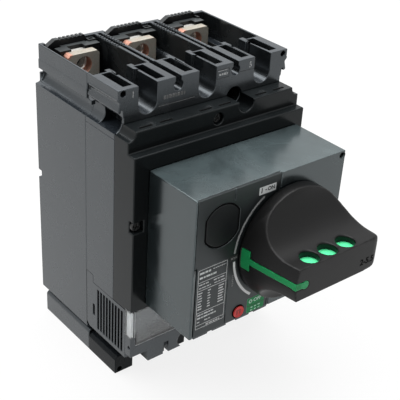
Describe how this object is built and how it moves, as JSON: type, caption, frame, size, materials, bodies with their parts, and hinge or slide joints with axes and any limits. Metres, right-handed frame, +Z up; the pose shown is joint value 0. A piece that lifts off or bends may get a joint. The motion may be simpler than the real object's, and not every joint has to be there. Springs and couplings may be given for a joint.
{
  "type": "motor circuit breaker",
  "caption": "Moulded-case circuit breaker with open terminal chambers and a scooped rotary handle on a square front box.",
  "frame": {"origin": "centre of the back mounting face", "axes": "+Y out of the back face towards the mounting plate, +Z up towards the line terminals, +X to the right seen from the front"},
  "size_m": [0.105, 0.155, 0.1622],
  "materials": {
    "case_plastic": "moulded, slightly rough",
    "cover_plastic": "moulded, slightly rough",
    "box_plastic": "fine spark-eroded texture",
    "black_plastic": "smooth",
    "handle_plastic": "satin",
    "green_plastic": "satin",
    "red_plastic": "satin",
    "light_print": "printed",
    "label_print": "printed film",
    "clear_plastic": "clear moulded",
    "tinned_copper": "tin plated",
    "zinc_steel": "zinc plated"
  },
  "bodies": {
    "case": {"rear_case": "case_plastic", "front_case": "case_plastic", "front_cover": "cover_plastic", "trip_unit": "case_plastic", "lower_terminal_block": "case_plastic", "setting_cover": "clear_plastic", "setting_dial_left": "black_plastic", "setting_dial_right": "black_plastic", "side_panel_left": "cover_plastic", "side_panel_right": "cover_plastic", "vent_panel_left": "case_plastic", "vent_panel_right": "case_plastic", "handle_box": "box_plastic", "face_plate": "box_plastic", "key_lock_blank": "black_plastic", "rating_plate": "label_print", "travel_arcs": "light_print", "on_label": "light_print", "off_label": "green_plastic", "line_bar_1": "tinned_copper", "line_bar_2": "tinned_copper", "line_bar_3": "tinned_copper", "line_nut_1": "zinc_steel", "line_nut_2": "zinc_steel", "line_nut_3": "zinc_steel", "line_back_cover_1": "black_plastic", "line_back_cover_2": "black_plastic", "line_back_cover_3": "black_plastic", "load_bar_1": "tinned_copper", "load_bar_2": "tinned_copper", "load_bar_3": "tinned_copper", "load_nut_1": "zinc_steel", "load_nut_2": "zinc_steel", "load_nut_3": "zinc_steel", "load_back_cover_1": "black_plastic", "load_back_cover_2": "black_plastic", "load_back_cover_3": "black_plastic"},
    "handle": {"handle": "handle_plastic", "padlock_slide": "green_plastic"},
    "trip_button": {"trip_button": "red_plastic"}
  },
  "joints": [
    {"name": "handle_turn", "type": "hinge", "parent": "case", "child": "handle", "pos_m": [0.0126, -0.1214, 0.00835], "axis": [0, -1, 0], "range_deg": [-45, 45]},
    {"name": "trip_button_push", "type": "slide", "parent": "case", "child": "trip_button", "axis": [0, 1, 0], "range_m": [0, 0.002], "stiffness_N_per_m": 100}
  ]
}
